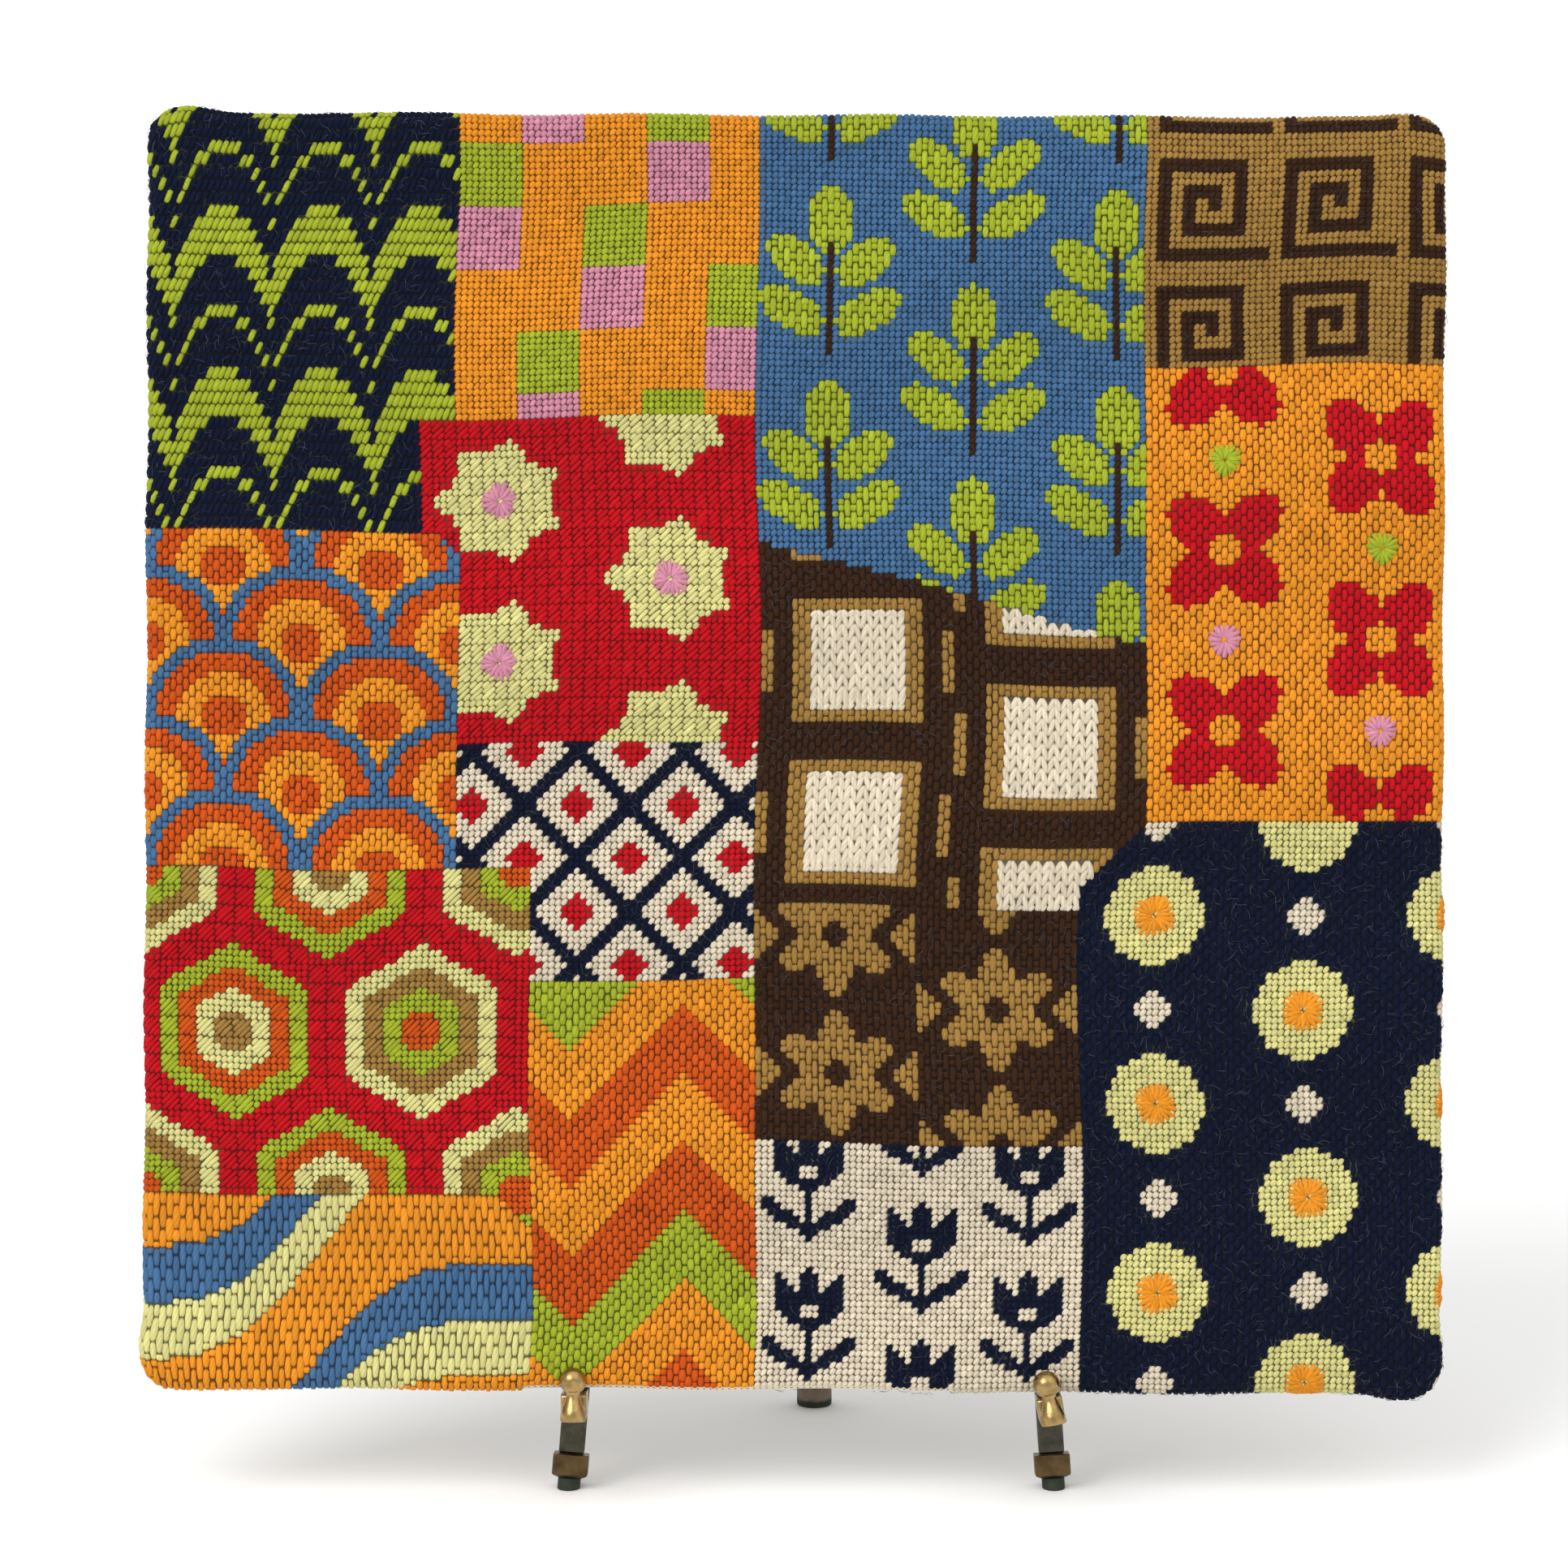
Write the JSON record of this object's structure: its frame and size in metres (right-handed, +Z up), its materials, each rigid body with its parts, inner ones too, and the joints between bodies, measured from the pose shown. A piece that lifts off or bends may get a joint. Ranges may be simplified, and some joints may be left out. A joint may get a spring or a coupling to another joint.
{
  "type": "needlepoint canvas panel on display stand",
  "caption": "Square needlepoint patchwork panel with soft rolled edges, leaning on a brass tripod display stand with ball-ended hooks.",
  "frame": {"origin": "middle of the whole's box, at the surface that the stand rests on", "axes": "+Z up, +X to the right as seen from the panel's face, -Y towards the viewer"},
  "size_m": [0.4092, 0.132, 0.4304],
  "materials": {
    "needlepoint": "many-coloured wool stitches on cotton canvas",
    "brass": "polished brass, rubbed and slightly tarnished",
    "dark_bronze": "dark patinated square bar, satin",
    "brown_brass": "brown patinated brass",
    "green_rubber": "dark green-black rubber",
    "brown_rubber": "matt grey-brown rubber"
  },
  "bodies": {
    "root": {"panel": "needlepoint", "leg_left": "dark_bronze", "leg_right": "dark_bronze", "arm_left": "brass", "arm_right": "brass", "knob_left": "brass", "knob_right": "brass", "collar_left": "brown_brass", "collar_right": "brown_brass", "tip_left": "green_rubber", "tip_right": "green_rubber", "cross_bar_top": "dark_bronze", "cross_bar_low": "dark_bronze", "hinge_ear_left": "dark_bronze", "hinge_ear_right": "dark_bronze", "hinge_pin": "brass", "rear_leg": "dark_bronze", "rear_cap": "brown_rubber"}
  },
  "joints": []
}
